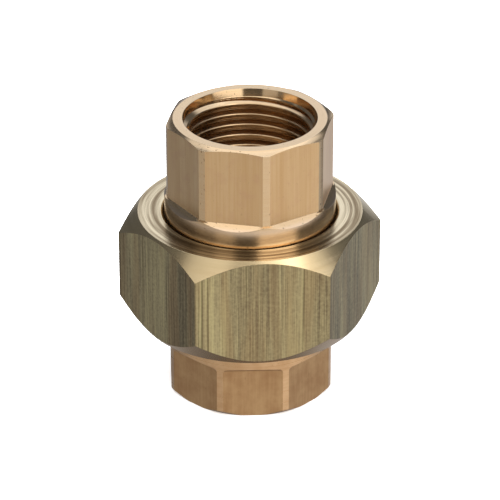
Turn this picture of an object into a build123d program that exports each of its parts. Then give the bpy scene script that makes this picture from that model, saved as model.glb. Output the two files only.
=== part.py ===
from build123d import *
from math import cos, radians, sqrt, tan
import os

# Straight pipe union with a parallel female pipe thread at both ends.
#
# A lower threaded body and an upper tailpiece meet on a flat ring seal. A hexagonal union nut has an
# in-turned lip that presses on the tailpiece's collar, and screws down on the body's male thread.
# The frame is in millimetres: +Z runs up the waterway, and the origin is the centre of the lower end face.

# --- Driving dimensions ---------------------------------------------------------------------------
TOTAL_HEIGHT = 46.5

# Rp 1/2 pipe thread at both ends
PIPE_PITCH = 25.4 / 14
PIPE_MAJOR_R = 20.955 / 2
PIPE_CREST_R = 19.0 / 2        # tapping drill size
PIPE_ROOT_WIDTH = 0.2
PIPE_CREST_BREAK = 0.12        # bevel on both corners of the crest

# G 1 thread between the union nut and the body, thinned on the body and opened in the nut
UNION_PITCH = 25.4 / 11
UNION_MAJOR_R = 33.249 / 2
UNION_MINOR_R = 30.291 / 2
UNION_ROOT_WIDTH = UNION_PITCH / 6
BODY_THREAD_THINNING = 0.15
NUT_THREAD_OPENING = 0.10
THREAD_HALF_ANGLE = 27.5

# Pipe ends
END_MOUTH_R = 10.6             # at the end face
END_MOUTH_DEPTH = 1.2
END_MOUTH_TAPER = 15           # degrees
END_CONE_LENGTH = 0.7          # from the foot of the mouth to the crest of the thread
PIPE_THREAD_DEPTH = 13.5
RELIEF_WIDTH = 1.6
WATERWAY_R = 9.0

# Lower body
BODY_FLATS = 25.7
BODY_CORNER_R = 13.7
BODY_FLATS_TOP = 8.25
PANEL_CORNER_R = 1.0
PANEL_ROOT_R = 0.3
PANEL_LEDGE_SLOPE = 30         # degrees by which the ledge over a panel rises outwards
BODY_FLATS_TURN = -20.4        # azimuth of one corner land from -Y towards +X
BODY_END_R = 12.95
BODY_END_BEVEL = 0.7
BODY_SHOULDER_Z = 12.9
BODY_GROOVE_START = 0.2        # height of the pipe thread's groove at its start, on the +X side
SEAT_Z = 22.5

# Ring seal
SEAL_THICKNESS = 2.0
SEAL_INNER_R = 10.5
SEAL_OUTER_R = 14.8
SEAL_EDGE = 0.15

# Tailpiece
TAIL_FLATS = 25.0
TAIL_CORNER_R = 13.3
TAIL_FLATS_TURN = 11.0
TAIL_RIM_R = 12.1
TAIL_RIM_BEVEL = 0.55
TAIL_NECK_R = 13.6
TAIL_LEDGE_TOP = 33.95          # foot of the spanner flats
TAIL_LEDGE_DEPTH = 0.95         # the sloping ledges run a little past the neck
TAIL_LEDGE_SLOPE = 52           # degrees between a ledge and the axis
TAIL_CORNER_STEP = 0.15         # the neck stands this far below the foot of the flats at the corners
TAIL_GROOVE_START = 31.75       # height of the pipe thread's groove at its start, on the +X side
COLLAR_R = 15.0
COLLAR_THICKNESS = 2.5

# Union nut
NUT_FLATS = 36.4
NUT_TURN = -23.8
NUT_BOTTOM = 12.4
NUT_TOP = 30.4
NUT_TOP_R = 17.85
NUT_TOP_CORNER_Z = 27.25
NUT_BOTTOM_CORNER_Z = 16.2
NUT_BOTTOM_FACE_Z = 12.85      # lowest point of a hexagon face
NUT_HOLE_R = 13.95
NUT_CHAMBER_R = 16.9
NUT_THREAD_TOP = 22.0
NUT_GROOVE_RUN_OUT = 0.7       # turns by which the nut's groove runs on past the body's
NUT_EDGE_R = 0.25

EDGE_BREAK = 0.2
BEVEL_CROWN = 0.04             # height by which a turned bevel stands proud of a plain cone
COLLAR_Z = SEAT_Z + SEAL_THICKNESS
LIP_Z = COLLAR_Z + COLLAR_THICKNESS
BEYOND = 3.0                   # how far a cutting shape runs past the metal it leaves


# --- Shapes used more than once -------------------------------------------------------------------
def turned(outline):
    """A solid turned about Z from its outline, given as (radius, height) points.

    A third number in a point crowns the side that leads to it by that height.
    """
    with BuildPart() as solid:
        with BuildSketch(Plane.XZ):
            with BuildLine():
                for start, end in zip(outline[-1:] + outline[:-1], outline):
                    if len(end) == 3:
                        SagittaArc(start[:2], end[:2], end[2])
                    else:
                        Line(start[:2], end)
            make_face()
        revolve(axis=Axis.Z)
    return solid.part


def groove(pitch, root_radius, root_width, crest_radius, start, turns, crest_break=0):
    """The space of one thread groove, swept up a right-hand helix that starts on the +X side.

    It runs on past the crest radius by EDGE_BREAK, and its mouth is bevelled by crest_break.
    """
    depth = crest_radius - root_radius
    way = depth / abs(depth)
    flank = depth - way * crest_break
    reach = depth + way * EDGE_BREAK
    flank_half = root_width / 2 + abs(flank) * tan(radians(THREAD_HALF_ANGLE))
    mouth_half = flank_half + abs(reach - flank) * (1 if crest_break else tan(radians(THREAD_HALF_ANGLE)))
    with BuildPart() as space:
        with BuildLine() as path:
            Helix(pitch=pitch, height=turns * pitch, radius=root_radius, center=(0, 0, start))
        with BuildSketch(Plane(origin=path.line @ 0, x_dir=(1, 0, 0), z_dir=path.line % 0)):
            with BuildLine():
                Polyline(
                    (0, -root_width / 2),
                    (flank, -flank_half),
                    (reach, -mouth_half),
                    (reach, mouth_half),
                    (flank, flank_half),
                    (0, root_width / 2),
                    close=True,
                )
            make_face()
        sweep(path=path.line, is_frenet=True)
    return space.part


def pipe_groove(start):
    """The groove of a female pipe thread. Both of its ends are cut away by the thread's mouth and relief."""
    return groove(
        PIPE_PITCH, PIPE_MAJOR_R, PIPE_ROOT_WIDTH, PIPE_CREST_R, start, PIPE_TURNS, PIPE_CREST_BREAK
    )


def pipe_end(outline, face, inward):
    """Part of a pipe end's outline at a given end face. Inward is +1 to run up from it, and -1 to run down."""
    return [(radius, face + inward * depth) for radius, depth in outline]


# --- Outlines of a pipe end, as (radius, depth from the end face) ----------------------------------
PIPE_TURNS = 8
END_FOOT_R = END_MOUTH_R - END_MOUTH_DEPTH * tan(radians(END_MOUTH_TAPER))
CONE_SLOPE = (END_FOOT_R - PIPE_CREST_R) / END_CONE_LENGTH
CONE_POINT = END_MOUTH_DEPTH + END_FOOT_R / CONE_SLOPE
RELIEF_DEPTH = END_MOUTH_R - PIPE_CREST_R
RELIEF_END = PIPE_THREAD_DEPTH + RELIEF_DEPTH + RELIEF_WIDTH
WATERWAY_START = RELIEF_END + END_MOUTH_R - WATERWAY_R

DRILLED = [(0, 0), (PIPE_CREST_R, 0), (PIPE_CREST_R, RELIEF_END), (0, RELIEF_END)]
MOUTH = [(0, 0), (END_MOUTH_R, 0), (END_FOOT_R, END_MOUTH_DEPTH), (0, CONE_POINT)]
RELIEF = [
    (0, PIPE_THREAD_DEPTH - PIPE_CREST_R),
    (END_MOUTH_R, PIPE_THREAD_DEPTH + RELIEF_DEPTH),
    (END_MOUTH_R, RELIEF_END),
    (WATERWAY_R, WATERWAY_START),
    (0, WATERWAY_START),
]

# --- Threaded body --------------------------------------------------------------------------------
body_thread_minor = UNION_MINOR_R - BODY_THREAD_THINNING
body_thread_major = UNION_MAJOR_R - BODY_THREAD_THINNING
body_thread_bottom = BODY_SHOULDER_Z + body_thread_minor - BODY_CORNER_R
union_thread_depth = body_thread_major - body_thread_minor
UNION_TURNS = 5
body_groove_start = SEAT_Z + 0.5 * UNION_PITCH - UNION_TURNS * UNION_PITCH

# A cutter for one spanner panel, lying on its milled face with the ledge end towards +Y. It is wide enough
# for its straight sides to run out of the metal, which leaves only the two rounded corners at the ledge.
panel_apothem = BODY_FLATS / 2
panel_width = 2 * sqrt(BODY_CORNER_R**2 - panel_apothem**2) + PANEL_CORNER_R - PANEL_ROOT_R

with BuildPart() as panel_cutter:
    with BuildSketch():
        with Locations((0, BODY_FLATS_TOP)):
            RectangleRounded(
                panel_width,
                BODY_FLATS_TOP + BEYOND,
                PANEL_CORNER_R,
                align=(Align.CENTER, Align.MAX),
            )
    extrude(amount=BEYOND, taper=-PANEL_LEDGE_SLOPE)
    fillet(panel_cutter.edges().group_by(Axis.Z)[0], PANEL_ROOT_R)

panel_planes = []
for side in range(8):
    direction = BODY_FLATS_TURN + 45 * (side + 0.5) - 90
    outward = Vector(1, 0).rotate(Axis.Z, direction)
    across = Vector(0, 1).rotate(Axis.Z, direction)
    panel_planes.append(Plane(origin=outward * panel_apothem, x_dir=across, z_dir=outward))

with BuildPart() as threaded_body:
    # male union thread, cut in a long blank and then turned to length with a bevel at each end
    with Locations((0, 0, SEAT_Z + BEYOND)):
        Cylinder(body_thread_major, SEAT_Z + BEYOND, align=(Align.CENTER, Align.CENTER, Align.MAX))
    add(
        groove(
            UNION_PITCH,
            body_thread_minor,
            UNION_ROOT_WIDTH,
            body_thread_major,
            body_groove_start,
            UNION_TURNS,
        ),
        mode=Mode.SUBTRACT,
    )
    add(
        turned(
            [
                (0, 0),
                (BODY_END_R, 0),
                (BODY_CORNER_R, BODY_END_BEVEL, BEVEL_CROWN),
                (BODY_CORNER_R, BODY_SHOULDER_Z),
                (body_thread_minor, body_thread_bottom),
                (body_thread_major + EDGE_BREAK, body_thread_bottom + union_thread_depth + EDGE_BREAK),
                (body_thread_major + EDGE_BREAK, SEAT_Z - union_thread_depth - 2 * EDGE_BREAK),
                (body_thread_minor - EDGE_BREAK, SEAT_Z),
                (0, SEAT_Z),
            ]
        ),
        mode=Mode.INTERSECT,
    )

    # eight milled spanner panels, open at the lower end
    with Locations(*panel_planes):
        add(panel_cutter.part, mode=Mode.SUBTRACT)

    # pipe thread, mouth, relief and waterway
    add(turned(pipe_end(DRILLED, 0, 1)), mode=Mode.SUBTRACT)
    add(pipe_groove(BODY_GROOVE_START), mode=Mode.SUBTRACT)
    add(turned(pipe_end(MOUTH, 0, 1)), mode=Mode.SUBTRACT)
    add(turned(pipe_end(RELIEF, 0, 1)), mode=Mode.SUBTRACT)
    with BuildSketch(Plane.XY.offset(SEAT_Z)):
        Circle(WATERWAY_R)
    extrude(amount=WATERWAY_START - SEAT_Z, mode=Mode.SUBTRACT)
threaded_body.part.label = "threaded_body"

# --- Ring seal ------------------------------------------------------------------------------------
with BuildPart() as seal_gasket:
    with BuildSketch(Plane.XY.offset(SEAT_Z)):
        Circle(SEAL_OUTER_R)
        Circle(SEAL_INNER_R, mode=Mode.SUBTRACT)
    extrude(amount=SEAL_THICKNESS)
    chamfer(seal_gasket.edges().filter_by(GeomType.CIRCLE), SEAL_EDGE)
seal_gasket.part.label = "seal_gasket"

# --- Tailpiece ------------------------------------------------------------------------------------
with BuildPart() as tailpiece:
    # octagonal spanner section with a sloping ledge under each flat, turned to a cylinder across its
    # corners and bevelled at the rim
    with BuildSketch(Plane.XY.offset(TAIL_LEDGE_TOP)) as tail_octagon:
        RegularPolygon(TAIL_FLATS / 2, 8, major_radius=False, rotation=TAIL_FLATS_TURN - 90)
    extrude(amount=TOTAL_HEIGHT - TAIL_LEDGE_TOP)
    extrude(tail_octagon.sketch, amount=-TAIL_LEDGE_DEPTH, taper=-TAIL_LEDGE_SLOPE)
    add(
        turned(
            [
                (0, TAIL_LEDGE_TOP - TAIL_LEDGE_DEPTH),
                (TAIL_NECK_R, TAIL_LEDGE_TOP - TAIL_LEDGE_DEPTH),
                (TAIL_NECK_R, TAIL_LEDGE_TOP - TAIL_CORNER_STEP),
                (TAIL_CORNER_R, TAIL_LEDGE_TOP - TAIL_CORNER_STEP),
                (TAIL_CORNER_R, TOTAL_HEIGHT - TAIL_RIM_BEVEL),
                (TAIL_RIM_R, TOTAL_HEIGHT, BEVEL_CROWN),
                (0, TOTAL_HEIGHT),
            ]
        ),
        mode=Mode.INTERSECT,
    )

    # round neck, and the collar that the nut pulls down
    add(
        turned(
            [
                (0, COLLAR_Z),
                (COLLAR_R - EDGE_BREAK, COLLAR_Z),
                (COLLAR_R, COLLAR_Z + EDGE_BREAK),
                (COLLAR_R, LIP_Z - EDGE_BREAK),
                (COLLAR_R - EDGE_BREAK, LIP_Z),
                (TAIL_NECK_R, LIP_Z),
                (TAIL_NECK_R, TAIL_LEDGE_TOP - TAIL_LEDGE_DEPTH),
                (0, TAIL_LEDGE_TOP - TAIL_LEDGE_DEPTH),
            ]
        )
    )

    # pipe thread, mouth, relief and waterway
    add(turned(pipe_end(DRILLED, TOTAL_HEIGHT, -1)), mode=Mode.SUBTRACT)
    add(pipe_groove(TAIL_GROOVE_START), mode=Mode.SUBTRACT)
    add(turned(pipe_end(MOUTH, TOTAL_HEIGHT, -1)), mode=Mode.SUBTRACT)
    add(turned(pipe_end(RELIEF, TOTAL_HEIGHT, -1)), mode=Mode.SUBTRACT)
    with BuildSketch(Plane.XY.offset(COLLAR_Z)):
        Circle(WATERWAY_R)
    extrude(amount=TOTAL_HEIGHT - WATERWAY_START - COLLAR_Z, mode=Mode.SUBTRACT)
tailpiece.part.label = "tailpiece"

# --- Union nut ------------------------------------------------------------------------------------
nut_corner_r = NUT_FLATS / 2 / cos(radians(30))
nut_thread_minor = UNION_MINOR_R + NUT_THREAD_OPENING
nut_thread_major = UNION_MAJOR_R + NUT_THREAD_OPENING
top_slope = (NUT_TOP - NUT_TOP_CORNER_Z) / (nut_corner_r - NUT_TOP_R)
bottom_slope = (NUT_BOTTOM_CORNER_Z - NUT_BOTTOM_FACE_Z) / (nut_corner_r - NUT_FLATS / 2)
nut_bottom_r = NUT_FLATS / 2 - (NUT_BOTTOM_FACE_Z - NUT_BOTTOM) / bottom_slope
envelope_r = nut_corner_r + 1
entry_r = nut_thread_major + EDGE_BREAK
# the nut's groove lies half a pitch from the body's, so that each ridge sits in the other's groove
nut_groove_start = body_groove_start - 0.5 * UNION_PITCH

with BuildPart() as union_nut:
    # hexagonal bar with slightly rounded corners
    with BuildSketch(Plane.XY.offset(NUT_BOTTOM)) as hexagon:
        RegularPolygon(NUT_FLATS / 2, 6, major_radius=False, rotation=NUT_TURN - 90)
        fillet(hexagon.vertices(), NUT_EDGE_R)
    extrude(amount=NUT_TOP - NUT_BOTTOM)

    # female union thread, from a groove that runs on into the collar chamber
    with BuildSketch(Plane.XY.offset(NUT_BOTTOM)):
        Circle(nut_thread_minor)
    extrude(amount=LIP_Z - NUT_BOTTOM - EDGE_BREAK, mode=Mode.SUBTRACT)
    add(
        groove(
            UNION_PITCH,
            nut_thread_major,
            UNION_ROOT_WIDTH,
            nut_thread_minor,
            nut_groove_start,
            UNION_TURNS + NUT_GROOVE_RUN_OUT,
        ),
        mode=Mode.SUBTRACT,
    )

    # cones outside, then the thread's entry, the collar chamber and the hole through the lip
    add(
        turned(
            [
                (0, NUT_BOTTOM),
                (nut_bottom_r, NUT_BOTTOM),
                (envelope_r, NUT_BOTTOM + (envelope_r - nut_bottom_r) * bottom_slope, BEVEL_CROWN),
                (envelope_r, NUT_TOP - (envelope_r - NUT_TOP_R) * top_slope),
                (NUT_TOP_R, NUT_TOP, BEVEL_CROWN),
                (0, NUT_TOP),
            ]
        ),
        mode=Mode.INTERSECT,
    )
    add(turned([(0, NUT_BOTTOM), (entry_r, NUT_BOTTOM), (0, NUT_BOTTOM + entry_r)]), mode=Mode.SUBTRACT)
    add(
        turned(
            [
                (0, NUT_THREAD_TOP - nut_thread_minor),
                (NUT_CHAMBER_R, NUT_THREAD_TOP + NUT_CHAMBER_R - nut_thread_minor),
                (NUT_CHAMBER_R, LIP_Z),
                (NUT_HOLE_R, LIP_Z),
                (NUT_HOLE_R, NUT_TOP - EDGE_BREAK),
                (NUT_HOLE_R + EDGE_BREAK, NUT_TOP),
                (0, NUT_TOP),
            ]
        ),
        mode=Mode.SUBTRACT,
    )
union_nut.part.label = "union_nut"

# --- Export ---------------------------------------------------------------------------------------
os.makedirs("parts", exist_ok=True)
for piece in (threaded_body, seal_gasket, tailpiece, union_nut):
    export_step(piece.part, f"parts/{piece.part.label}.step")
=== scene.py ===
from math import cos, degrees, radians, sin

import bpy
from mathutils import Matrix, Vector


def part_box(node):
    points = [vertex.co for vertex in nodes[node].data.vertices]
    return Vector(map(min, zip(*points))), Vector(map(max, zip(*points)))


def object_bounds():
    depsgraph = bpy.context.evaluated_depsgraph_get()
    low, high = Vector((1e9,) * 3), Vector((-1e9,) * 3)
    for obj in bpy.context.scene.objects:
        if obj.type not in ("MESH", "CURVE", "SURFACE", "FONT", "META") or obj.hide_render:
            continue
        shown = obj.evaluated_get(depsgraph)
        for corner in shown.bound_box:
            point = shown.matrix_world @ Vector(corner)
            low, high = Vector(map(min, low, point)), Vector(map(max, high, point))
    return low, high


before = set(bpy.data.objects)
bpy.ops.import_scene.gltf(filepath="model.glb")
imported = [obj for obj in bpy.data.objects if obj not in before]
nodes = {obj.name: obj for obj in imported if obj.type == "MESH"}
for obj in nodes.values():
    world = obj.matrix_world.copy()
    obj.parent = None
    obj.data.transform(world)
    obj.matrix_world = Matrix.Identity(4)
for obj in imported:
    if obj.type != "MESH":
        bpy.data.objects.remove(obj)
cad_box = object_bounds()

# Pipe union on a pale floor in a soft studio. Object coordinates are in metres, and the materials work in
# millimetres of the object's own frame: Z runs up the waterway, and u runs across a flat face.
MM = 0.001

# --- Sizes that the materials need, in millimetres --------------------------------------------------
TAIL_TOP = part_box("tailpiece")[1].z / MM
BODY_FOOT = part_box("threaded_body")[0].z / MM
NECK_TOP = 33.1              # the tailpiece is round below this height
TAIL_FLAT_LIMIT = 12.75      # an upright face whose plane lies nearer the axis than this is a spanner flat
BODY_FLAT_LIMIT = 13.1
BORE_MOUTH = (1.2, 3.0)      # depths at which the clean mouth ends and the painted shade, a brown darkening, is full
EDGE_RADIUS = 0.10           # rounding that a sharp machined edge shows
EDGE_SAMPLES = 6
FACE_SHIFT = (37.0, 53.0)    # for nx and ny, so that each face gets its own stretch of noise
RING_SLOPE = 1.37            # carries the rings outwards over level faces
RING_DRIFT = 0.7             # how far a ring changes on its way round

# --- Sizes of the studio, in metres except where noted ----------------------------------------------
FLOOR_RADIUS = 4.0
FLOOR_SIDES = 96
FLOOR_GAP = 0.05 * MM        # keeps the floor clear of the body's foot
CAMERA_PITCH = 27.75         # degrees below level
CAMERA_DISTANCE = 513.3 * MM
CAMERA_AIM = 23.0 * MM       # height of the point on the axis that the camera looks at
CAMERA_LENS = 231.5          # focal length and sensor width in millimetres
CAMERA_SENSOR = 36.0
CAMERA_CLIP = 0.01

# Soft boxes on the sky: azimuth from the front towards +X, half width, lowest and highest elevation, softness
# of the edge, all in degrees, and strength. A negative strength is a dark card held in front of the light.
SOFT_BOXES = (
    (-86, 12, -50, -10, 8.0, 0.06),
    (116, 28, -50, -10, 10.0, -0.08),
    (119, 7, -50, -10, 4.0, -0.32),
    (38, 26, 0, 60, 2.5, 1.25),
    (-34, 13, 0, 42, 2.5, 0.42),
    (-62, 14, 0, 42, 5.0, 0.16),
    (180, 21, 12, 60, 5.0, 0.84),
    (85, 45, 42, 62, 4.0, 0.90),
    (134, 12, 36, 62, 4.0, 0.90),
    (-52, 26, 44, 62, 3.0, 0.62),
    (-128, 22, 44, 62, 3.0, 0.80),
)


# --- Short calls for shader nodes -------------------------------------------------------------------
class Graph:
    """A node tree, with one short call for each kind of node that repeats."""

    def __init__(self, tree):
        self.tree = tree
        tree.nodes.clear()

    def feed(self, socket, value):
        if isinstance(value, bpy.types.NodeSocket):
            self.tree.links.new(value, socket)
        else:
            socket.default_value = value

    def node(self, kind, **inputs):
        made = self.tree.nodes.new("ShaderNode" + kind)
        for name, value in inputs.items():
            self.feed(made.inputs[name.replace("_", " ")], value)
        return made

    def math(self, operation, *values):
        made = self.tree.nodes.new("ShaderNodeMath")
        made.operation = operation
        for socket, value in zip(made.inputs, values):
            self.feed(socket, value)
        return made.outputs[0]

    def add(self, *values):
        total = values[0]
        for value in values[1:]:
            total = self.math("ADD", total, value)
        return total

    def times(self, *values):
        product = values[0]
        for value in values[1:]:
            product = self.math("MULTIPLY", product, value)
        return product

    def step(self, value, start, end):
        """0 before start and 1 after end, with a smooth ramp between. Start may lie above end."""
        made = self.tree.nodes.new("ShaderNodeMapRange")
        made.interpolation_type = "SMOOTHSTEP"
        low, high = min(start, end), max(start, end)
        self.feed(made.inputs["Value"], value)
        made.inputs["From Min"].default_value = low
        made.inputs["From Max"].default_value = high
        made.inputs["To Min"].default_value = 0 if start < end else 1
        made.inputs["To Max"].default_value = 1 if start < end else 0
        return made.outputs["Result"]

    def spread(self, value, low, high):
        """A value from 0 to 1 spread over low to high."""
        return self.math("MULTIPLY_ADD", value, high - low, low)

    def join(self, x, y, z):
        return self.node("CombineXYZ", X=x, Y=y, Z=z).outputs[0]

    def split(self, vector):
        return self.node("SeparateXYZ", Vector=vector).outputs

    def noise(self, x, y, z, detail=2.0, roughness=0.5):
        """Smooth noise from 0 to 1 with one wave for each unit of its coordinates."""
        made = self.node(
            "TexNoise", Vector=self.join(x, y, z), Scale=1.0, Detail=detail, Roughness=roughness
        )
        return made.outputs["Fac"]

    def mix(self, factor, first, second):
        made = self.tree.nodes.new("ShaderNodeMix")
        made.data_type = "RGBA"
        self.feed(made.inputs[0], factor)
        self.feed(made.inputs[6], first)
        self.feed(made.inputs[7], second)
        return made.outputs[2]

    def blend(self, factor, first, second):
        made = self.tree.nodes.new("ShaderNodeMix")
        made.data_type = "FLOAT"
        self.feed(made.inputs[0], factor)
        self.feed(made.inputs[2], first)
        self.feed(made.inputs[3], second)
        return made.outputs[0]

    def ramp(self, factor, stops):
        made = self.node("ValToRGB", Fac=factor)
        elements = made.color_ramp.elements
        while len(elements) < len(stops):
            elements.new(1.0)
        for element, (position, colour) in zip(elements, stops):
            element.position = position
            element.color = colour
        return made.outputs["Color"]


def linear(red, green, blue):
    """A display colour from 0 to 255 as the linear colour that shaders take."""

    def channel(value):
        value /= 255
        return value / 12.92 if value <= 0.04045 else ((value + 0.055) / 1.055) ** 2.4

    return (channel(red), channel(green), channel(blue), 1.0)


class Surface(Graph):
    """A material's node tree with the coordinates that machined surfaces are described in."""

    def __init__(self, name):
        self.material = bpy.data.materials.new(name)
        self.material.use_nodes = True
        super().__init__(self.material.node_tree)
        place = self.node("TexCoord")
        millimetres = self.tree.nodes.new("ShaderNodeVectorMath")
        millimetres.operation = "SCALE"
        self.feed(millimetres.inputs[0], place.outputs["Object"])
        millimetres.inputs["Scale"].default_value = 1 / MM
        self.x, self.y, self.z = self.split(millimetres.outputs[0])
        self.nx, self.ny, self.nz = self.split(place.outputs["Normal"])
        self.radius = self.math(
            "SQRT", self.add(self.times(self.x, self.x), self.times(self.y, self.y))
        )
        self.apothem = self.add(self.times(self.x, self.nx), self.times(self.y, self.ny))
        self.u = self.math("SUBTRACT", self.times(self.y, self.nx), self.times(self.x, self.ny))
        self.face = self.add(self.times(self.nx, FACE_SHIFT[0]), self.times(self.ny, FACE_SHIFT[1]))
        self.upright = self.step(self.math("ABSOLUTE", self.nz), 0.3, 0.15)
        self.inner = self.step(self.apothem, 0.0, -3.0)

    def flats(self, limit=None):
        """1 on upright outer faces and 0 elsewhere. A limit leaves out those whose planes lie further out."""
        outside = self.times(self.step(self.apothem, 2.0, 4.0), self.upright)
        if limit is None:
            return outside
        return self.times(outside, self.step(self.apothem, limit + 0.1, limit - 0.1))

    def deep(self, mouth):
        """1 inside the bore past its mouth, which is at height mouth, and 0 elsewhere."""
        depth = self.math("ABSOLUTE", self.math("SUBTRACT", self.z, mouth))
        return self.times(self.inner, self.step(depth, *BORE_MOUTH))

    def bore_shade(self, colour, mouth):
        """The colour with painted shade, a brown darkening, deep inside the bore."""
        # Painted shade: the bore turns brown past its mouth, where little light reaches.
        return self.mix(self.times(self.deep(mouth), 0.26), colour, linear(112, 72, 46))

    def specks(self):
        """1 on sparse small casting pits and 0 elsewhere."""
        return self.step(self.grain(2.6, detail=1.0, roughness=0.4), 0.70, 0.76)

    def streaks(self, across, along, shift, detail=2.0, roughness=0.5):
        """Noise drawn out along Z, which differs from face to face."""
        return self.noise(
            self.times(self.u, across),
            self.times(self.z, along),
            self.add(self.face, shift),
            detail,
            roughness,
        )

    def rings(self, count, detail=2.0):
        """Noise that runs round the axis, as a turning tool leaves it, with count waves in a millimetre."""
        along = self.add(self.z, self.times(self.radius, RING_SLOPE))
        round_x = self.math("DIVIDE", self.x, self.radius)
        round_y = self.math("DIVIDE", self.y, self.radius)
        return self.noise(
            self.times(along, count),
            self.times(round_x, RING_DRIFT),
            self.times(round_y, RING_DRIFT),
            detail,
            roughness=0.6,
        )

    def grain(self, count, detail=3.0, roughness=0.6):
        """Noise that is alike in every direction, with count waves in a millimetre."""
        x, y, z = (self.times(place, count) for place in (self.x, self.y, self.z))
        return self.noise(x, y, z, detail, roughness)

    def finish(self, colour, roughness, height, depth, metallic=1.0, anisotropic=0.0, rotation=0.0):
        """The finished material. The height is in units of depth, a length in metres."""
        edges = self.node("Bevel", Radius=EDGE_RADIUS * MM)
        edges.samples = EDGE_SAMPLES
        bump = self.node("Bump", Height=height, Strength=1.0, Distance=depth)
        self.feed(bump.inputs["Normal"], edges.outputs[0])
        shader = self.node("BsdfPrincipled", Base_Color=colour, Roughness=roughness, Metallic=metallic)
        self.feed(shader.inputs["Normal"], bump.outputs["Normal"])
        if anisotropic:
            shader.inputs["Anisotropic"].default_value = anisotropic
            self.feed(shader.inputs["Anisotropic Rotation"], rotation)
            tangent = self.tree.nodes.new("ShaderNodeTangent")
            tangent.direction_type = "RADIAL"
            tangent.axis = "Z"
            self.feed(shader.inputs["Tangent"], tangent.outputs[0])
        output = self.node("OutputMaterial")
        self.feed(output.inputs["Surface"], shader.outputs[0])
        return self.material


# --- Materials --------------------------------------------------------------------------------------
def tail_metal():
    """Red brass: flats milled with faint upright streaks, and everything else turned."""
    s = Surface("tail_red_brass")
    flats = s.flats(TAIL_FLAT_LIMIT)
    broad = s.streaks(0.35, 0.03, 1.0)
    fine = s.streaks(3.0, 0.06, 5.0, detail=3.0, roughness=0.6)
    mottle = s.grain(0.45)
    turned = s.rings(4.0)
    tone = s.blend(flats, s.add(s.times(turned, 0.6), 0.2), s.add(s.times(broad, 0.5), s.times(fine, 0.5)))
    colour = s.mix(s.step(tone, 0.15, 0.85), linear(216, 176, 126), linear(240, 208, 162))
    colour = s.mix(s.times(s.step(mottle, 0.45, 0.8), 0.5), colour, linear(218, 176, 138))
    colour = s.mix(flats, s.mix(turned, linear(226, 192, 148), linear(240, 214, 176)), colour)
    neck = s.times(s.step(s.z, NECK_TOP + 0.6, NECK_TOP), s.step(s.apothem, 4.0, 6.0))
    colour = s.mix(neck, colour, linear(240, 214, 184))
    pitted = s.times(s.specks(), s.spread(flats, 0.6, 0.12))
    colour = s.mix(pitted, colour, linear(120, 84, 56))
    roughness = s.blend(flats, s.spread(turned, 0.14, 0.26), s.spread(fine, 0.24, 0.38))
    roughness = s.blend(s.inner, roughness, s.spread(turned, 0.09, 0.16))
    roughness = s.blend(s.deep(TAIL_TOP), roughness, 0.24)
    ringed = s.times(turned, s.spread(s.inner, 0.45, 0.15))
    height = s.blend(flats, ringed, s.times(fine, 0.6))
    rotation = s.math("MULTIPLY_ADD", flats, -0.25, 0.25)
    colour = s.bore_shade(colour, TAIL_TOP)
    return s.finish(colour, roughness, height, 0.006 * MM, anisotropic=0.45, rotation=rotation)


def body_metal():
    """Red brass with a duller, slightly mottled satin skin."""
    s = Surface("body_red_brass")
    flats = s.flats(BODY_FLAT_LIMIT)
    mottle = s.grain(0.30)
    grit = s.grain(2.5)
    fine = s.streaks(2.5, 0.12, 2.0, detail=3.0)
    turned = s.rings(3.0)
    tone = s.add(s.times(mottle, 0.7), s.times(s.blend(flats, turned, fine), 0.3))
    # The flat panels take a darker, more saturated colour than the band: painted shade, the reflection of the
    # shadowed floor in front of them.
    panel_tone_and_shade = s.mix(s.step(tone, 0.3, 0.7), linear(188, 146, 104), linear(212, 174, 128))
    band = s.mix(s.step(tone, 0.3, 0.7), linear(212, 170, 126), linear(236, 198, 154))
    colour = s.mix(s.times(s.specks(), 0.15), s.mix(flats, band, panel_tone_and_shade), linear(120, 84, 56))
    roughness = s.blend(flats, s.spread(turned, 0.24, 0.34), s.spread(grit, 0.34, 0.46))
    height = s.blend(flats, s.times(turned, 0.4), s.add(s.times(grit, 0.4), s.times(fine, 0.4)))
    return s.finish(s.bore_shade(colour, BODY_FOOT), roughness, height, 0.008 * MM)


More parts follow.
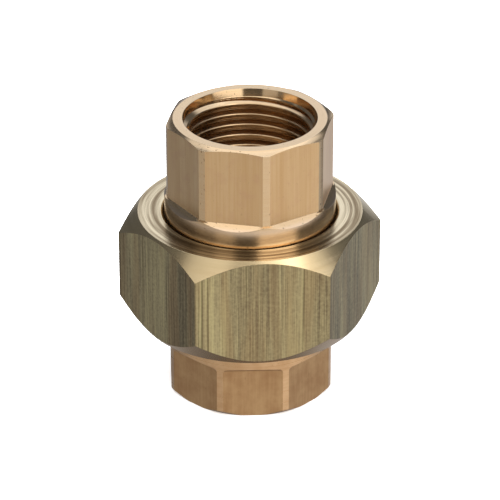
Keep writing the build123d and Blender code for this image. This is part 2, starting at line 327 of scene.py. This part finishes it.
def nut_metal():
    """Yellow brass: drawn hexagonal bar with dull upright streaks, turned bright at both ends."""
    s = Surface("nut_yellow_brass")
    flats = s.flats()
    bands = s.streaks(0.22, 0.02, 0.0, detail=1.0)
    lines = s.streaks(2.2, 0.03, 7.0, detail=4.0, roughness=0.75)
    hair = s.streaks(7.0, 0.10, 13.0, detail=2.0)
    mottle = s.grain(2.2)
    tone = s.add(s.times(bands, 0.30), s.times(lines, 0.32), s.times(hair, 0.22), s.times(mottle, 0.16))
    drawn = s.ramp(
        s.step(tone, 0.30, 0.70),
        [
            (0.00, linear(88, 76, 56)),
            (0.35, linear(154, 141, 110)),
            (0.65, linear(194, 180, 138)),
            (1.00, linear(226, 214, 160)),
        ],
    )
    olive = s.step(s.streaks(0.5, 0.03, 21.0, detail=2.0), 0.40, 0.65)
    drawn = s.mix(s.times(olive, 0.30), drawn, linear(170, 134, 92))
    scores = s.step(s.streaks(3.2, 0.02, 31.0, detail=1.0), 0.66, 0.72)
    drawn = s.mix(s.times(scores, 0.55), drawn, linear(84, 72, 50))
    turned = s.rings(4.0)
    lathe = s.rings(1.2, detail=4.0)
    level = s.step(s.math("ABSOLUTE", s.nz), 0.90, 0.98)
    bright = s.mix(turned, linear(226, 202, 156), linear(248, 228, 184))
    face = s.mix(s.step(lathe, 0.34, 0.66), linear(140, 118, 84), linear(246, 228, 190))
    # Faces that look down take a warmer colour: a painted reflection of the warm light bounced from the
    # floor.
    bright = s.mix(s.step(s.nz, -0.2, -0.5), bright, linear(236, 200, 152))
    colour = s.mix(flats, s.mix(level, bright, face), drawn)
    roughness = s.blend(flats, s.spread(turned, 0.18, 0.30), s.spread(lines, 0.32, 0.50))
    lathe_height = s.add(s.times(turned, 0.5), s.times(level, lathe))
    height = s.blend(flats, lathe_height, s.add(s.times(lines, 0.8), s.times(hair, 0.5)))
    return s.finish(colour, roughness, height, 0.012 * MM)


def seal_fibre():
    """Pressed grey-green fibre with short flecks."""
    s = Surface("seal_pressed_fibre")
    flecks = s.noise(s.times(s.x, 2.2), s.times(s.y, 5.0), s.times(s.z, 6.0), 4.0, 0.7)
    mottle = s.grain(0.8)
    colour = s.mix(s.step(flecks, 0.4, 0.62), linear(66, 74, 68), linear(112, 118, 104))
    colour = s.mix(s.times(mottle, 0.5), colour, linear(84, 78, 66))
    return s.finish(colour, s.spread(mottle, 0.7, 0.9), flecks, 0.03 * MM, metallic=0.0)


for name, material in (
    ("tailpiece", tail_metal()),
    ("threaded_body", body_metal()),
    ("union_nut", nut_metal()),
    ("seal_gasket", seal_fibre()),
):
    for slot in nodes[name].material_slots:
        slot.material = material


# --- Studio -----------------------------------------------------------------------------------------
def studio_world():
    """Soft boxes on the sky, over light from the floor that is brightest at the front right."""
    world = bpy.data.worlds.new("studio")
    bpy.context.scene.world = world
    world.use_nodes = True
    g = Graph(world.node_tree)
    x, y, z = g.split(g.node("TexCoord").outputs["Generated"])
    azimuth = g.times(g.math("ARCTAN2", x, g.math("MULTIPLY", y, -1.0)), degrees(1))
    elevation = g.times(g.math("ARCSINE", z), degrees(1))

    def box(centre, half_width, low, high, soft, strength):
        away = g.math("ABSOLUTE", g.math("SUBTRACT", azimuth, centre))
        turned_round = g.math("ABSOLUTE", g.math("SUBTRACT", away, 360.0))
        away = g.math("MINIMUM", away, turned_round)
        across = g.step(away, half_width + soft, half_width - soft)
        above = g.step(elevation, low - soft, low + soft)
        below = g.step(elevation, high + soft, high - soft)
        return g.times(across, above, below, strength)

    toward = g.add(g.times(x, 0.707), g.times(y, -0.707))
    floor = g.times(
        g.math("MULTIPLY_ADD", toward, 0.29, 0.54),
        g.step(elevation, 0.0, -14.0),
        g.spread(g.step(elevation, -70.0, -38.0), 0.30, 1.0),
    )
    rear = g.add(g.times(x, 0.34), g.times(y, 0.94))
    light = g.add(
        floor,
        g.times(g.step(rear, 0.72, 0.88), g.step(elevation, 0.0, -10.0), 0.24),
        g.times(g.step(elevation, -14.0, 4.0), 0.10),
        g.times(g.step(elevation, 58.0, 64.0), 1.10),
        *(box(*soft_box) for soft_box in SOFT_BOXES),
    )
    tint = g.mix(g.step(y, -0.3, 0.5), (1.03, 0.98, 0.93, 1.0), (0.96, 1.0, 1.10, 1.0))
    lit = g.node("Background", Color=tint, Strength=light)
    plain = g.node("Background", Color=(1.0, 1.0, 1.0, 1.0), Strength=1.0)
    seen = g.node("LightPath").outputs["Is Camera Ray"]
    shown = g.node("MixShader", Fac=seen)
    g.feed(shown.inputs[1], lit.outputs[0])
    g.feed(shown.inputs[2], plain.outputs[0])
    output = g.node("OutputWorld")
    g.feed(output.inputs["Surface"], shown.outputs[0])


def floor_material():
    material = bpy.data.materials.new("pale_floor")
    material.use_nodes = True
    g = Graph(material.node_tree)
    place = g.node("TexCoord").outputs["Object"]
    speckle = g.node("TexNoise", Vector=place, Scale=60.0, Detail=2.0).outputs["Fac"]
    colour = g.mix(speckle, (0.90, 0.90, 0.90, 1.0), (0.93, 0.93, 0.93, 1.0))
    shader = g.node("BsdfPrincipled", Base_Color=colour, Roughness=0.9)
    shader.inputs["Emission Color"].default_value = (1.0, 1.0, 1.0, 1.0)
    shader.inputs["Emission Strength"].default_value = 0.55
    g.feed(g.node("OutputMaterial").inputs["Surface"], shader.outputs[0])
    return material


def studio_floor():
    below = (0, 0, cad_box[0].z - FLOOR_GAP)
    bpy.ops.mesh.primitive_circle_add(
        vertices=FLOOR_SIDES, radius=FLOOR_RADIUS, fill_type="NGON", location=below
    )
    floor = bpy.context.object
    floor.name = "studio_floor"
    floor.data.materials.append(floor_material())
    floor.visible_glossy = False


def area_light(name, azimuth, elevation, distance, size, power):
    """A round lamp that points at the object, and that its gloss doesn't show."""
    data = bpy.data.lights.new(name, "AREA")
    data.shape = "DISK"
    data.size = size
    data.energy = power
    lamp = bpy.data.objects.new(name, data)
    bpy.context.scene.collection.objects.link(lamp)
    a, e = radians(azimuth), radians(elevation)
    direction = Vector((sin(a) * cos(e), -cos(a) * cos(e), sin(e)))
    lamp.location = direction * distance
    lamp.rotation_euler = direction.to_track_quat("Z", "Y").to_euler()
    lamp.visible_glossy = False


def photo_camera():
    camera = bpy.data.objects.new("camera", bpy.data.cameras.new("camera"))
    bpy.context.scene.collection.objects.link(camera)
    pitch = radians(CAMERA_PITCH)
    camera.location = (0, -CAMERA_DISTANCE * cos(pitch), CAMERA_AIM + CAMERA_DISTANCE * sin(pitch))
    camera.rotation_euler = (radians(90) - pitch, 0, 0)
    camera.data.lens = CAMERA_LENS
    camera.data.sensor_width = CAMERA_SENSOR
    camera.data.clip_start = CAMERA_CLIP
    bpy.context.scene.camera = camera


studio_world()
studio_floor()
area_light("overhead", azimuth=0, elevation=85, distance=1.2, size=1.6, power=40)
photo_camera()
bpy.context.scene.view_settings.view_transform = "Standard"
